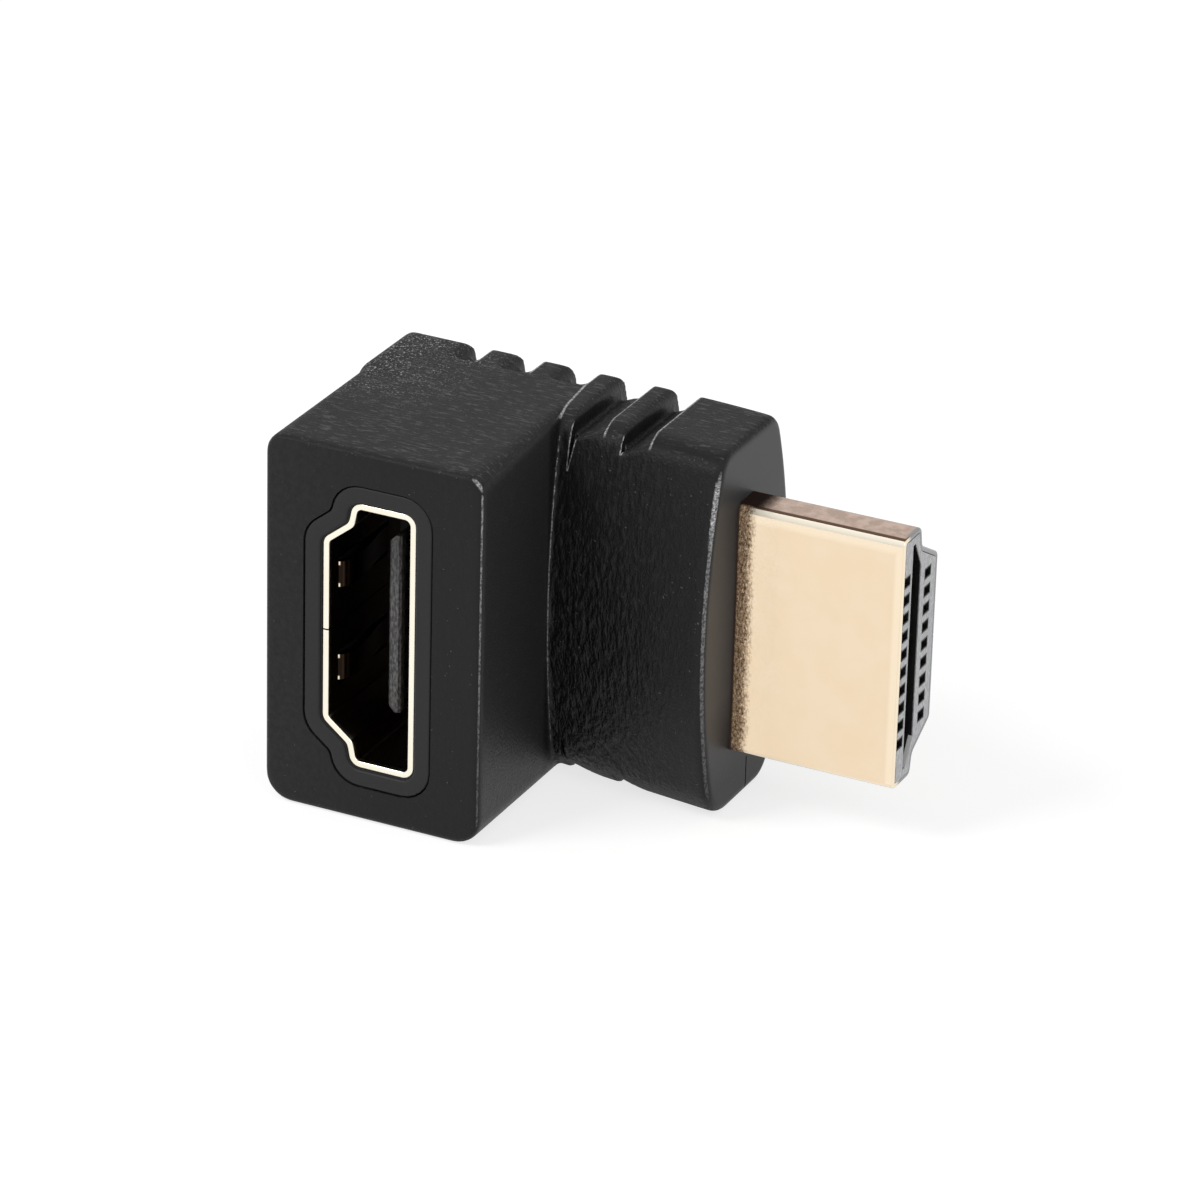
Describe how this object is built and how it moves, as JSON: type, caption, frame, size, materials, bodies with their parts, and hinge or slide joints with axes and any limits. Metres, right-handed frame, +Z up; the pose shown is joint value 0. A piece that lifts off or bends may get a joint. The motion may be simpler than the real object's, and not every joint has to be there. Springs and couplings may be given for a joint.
{
  "type": "right angle video adapter",
  "caption": "Right-angle video adapter: a gold-plated plug and a recessed socket set square to it in an L-shaped black moulded grip with finger grooves over its top and bottom.",
  "frame": {"origin": "bottom centre of the box round the whole part", "axes": "+X runs out along the plug, the socket opens towards -Y, +Z is up through the broad side of both connectors; the part stands on the underside of the grip"},
  "size_m": [0.0306, 0.017, 0.0205],
  "materials": {
    "grip_plastic": "black flexible vinyl with a fine leather grain",
    "inner_plastic": "plain moulded polyethylene",
    "collar_plastic": "smooth black moulded plastic",
    "socket_plastic": "dark glass-filled moulded plastic",
    "plug_plastic": "grey glass-filled moulded plastic",
    "gold_plate": "thin gold plate over nickel on stamped sheet",
    "contact_gold": "gold plate on copper alloy",
    "board_laminate": "glass-fibre laminate with green solder mask"
  },
  "bodies": {
    "root": {"circuit_board": "board_laminate", "inner_mould": "inner_plastic", "overmould": "grip_plastic", "plug_contact_01": "contact_gold", "plug_contact_02": "contact_gold", "plug_contact_03": "contact_gold", "plug_contact_04": "contact_gold", "plug_contact_05": "contact_gold", "plug_contact_06": "contact_gold", "plug_contact_07": "contact_gold", "plug_contact_08": "contact_gold", "plug_contact_09": "contact_gold", "plug_contact_10": "contact_gold", "plug_contact_11": "contact_gold", "plug_contact_12": "contact_gold", "plug_contact_13": "contact_gold", "plug_contact_14": "contact_gold", "plug_contact_15": "contact_gold", "plug_contact_16": "contact_gold", "plug_contact_17": "contact_gold", "plug_contact_18": "contact_gold", "plug_contact_19": "contact_gold", "plug_insert": "plug_plastic", "plug_shell": "gold_plate", "socket_collar": "collar_plastic", "socket_contact_01": "contact_gold", "socket_contact_02": "contact_gold", "socket_contact_03": "contact_gold", "socket_contact_04": "contact_gold", "socket_contact_05": "contact_gold", "socket_contact_06": "contact_gold", "socket_contact_07": "contact_gold", "socket_contact_08": "contact_gold", "socket_contact_09": "contact_gold", "socket_contact_10": "contact_gold", "socket_contact_11": "contact_gold", "socket_contact_12": "contact_gold", "socket_contact_13": "contact_gold", "socket_contact_14": "contact_gold", "socket_contact_15": "contact_gold", "socket_contact_16": "contact_gold", "socket_contact_17": "contact_gold", "socket_contact_18": "contact_gold", "socket_contact_19": "contact_gold", "socket_insert": "socket_plastic", "socket_shell": "gold_plate"}
  },
  "joints": []
}
